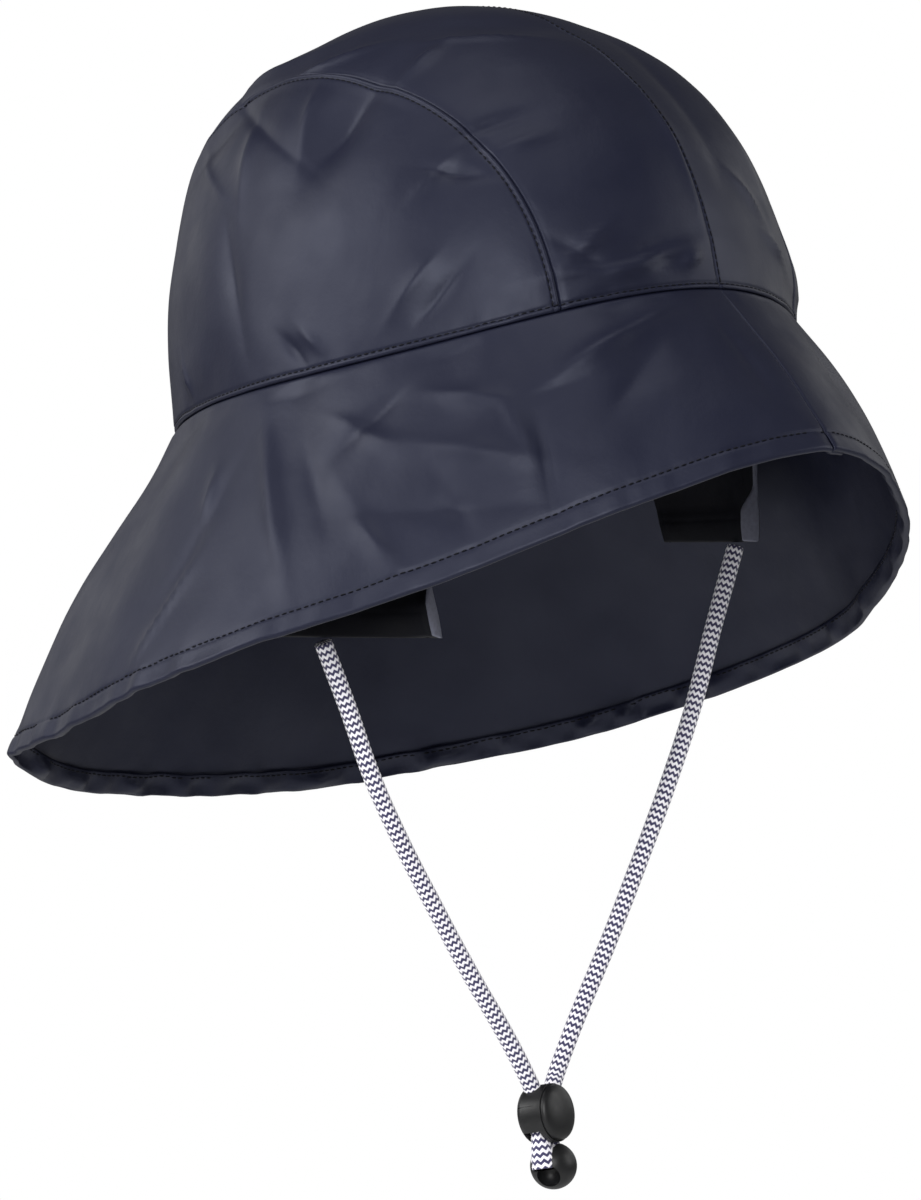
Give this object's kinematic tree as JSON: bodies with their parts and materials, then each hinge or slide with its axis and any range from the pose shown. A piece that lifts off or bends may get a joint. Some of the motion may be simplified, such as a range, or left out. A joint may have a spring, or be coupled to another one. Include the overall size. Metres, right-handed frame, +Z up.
{
  "type": "sou'wester hat",
  "caption": "Coated-fabric rain hat with a panelled crown, a sloping brim that is long behind, two ear flaps and a braided chin cord with a sprung toggle and an end ball.",
  "frame": {"origin": "centre of the head opening, level with the seam between crown and brim, where a head holds the hat", "axes": "-Y to the front, +X to the wearer's left, +Z up; the hat is tilted back by 12.7 degrees, and the chin cord hangs plumb"},
  "size_m": [0.256, 0.2666, 0.3507],
  "materials": {
    "coated_fabric": "navy coated fabric with a satin sheen",
    "braided_cord": "braid of white and navy zigzags",
    "black_plastic": "satin black"
  },
  "bodies": {
    "hat": {"crown_top_right": "coated_fabric", "crown_top_left": "coated_fabric", "crown_side_right": "coated_fabric", "crown_side_left": "coated_fabric", "brim": "coated_fabric", "ear_flap_right": "coated_fabric", "ear_flap_left": "coated_fabric", "chin_cord_right": "braided_cord", "chin_cord_left": "braided_cord", "cord_lock_body": "black_plastic", "cord_end_ball": "black_plastic"},
    "button": {"cord_lock_button": "black_plastic"}
  },
  "joints": [
    {"name": "button_press", "type": "slide", "parent": "hat", "child": "button", "axis": [-0.2185, 0.9618, -0.165], "range_m": [0, 0.0015], "stiffness_N_per_m": 800, "springref_m": -0.002}
  ]
}
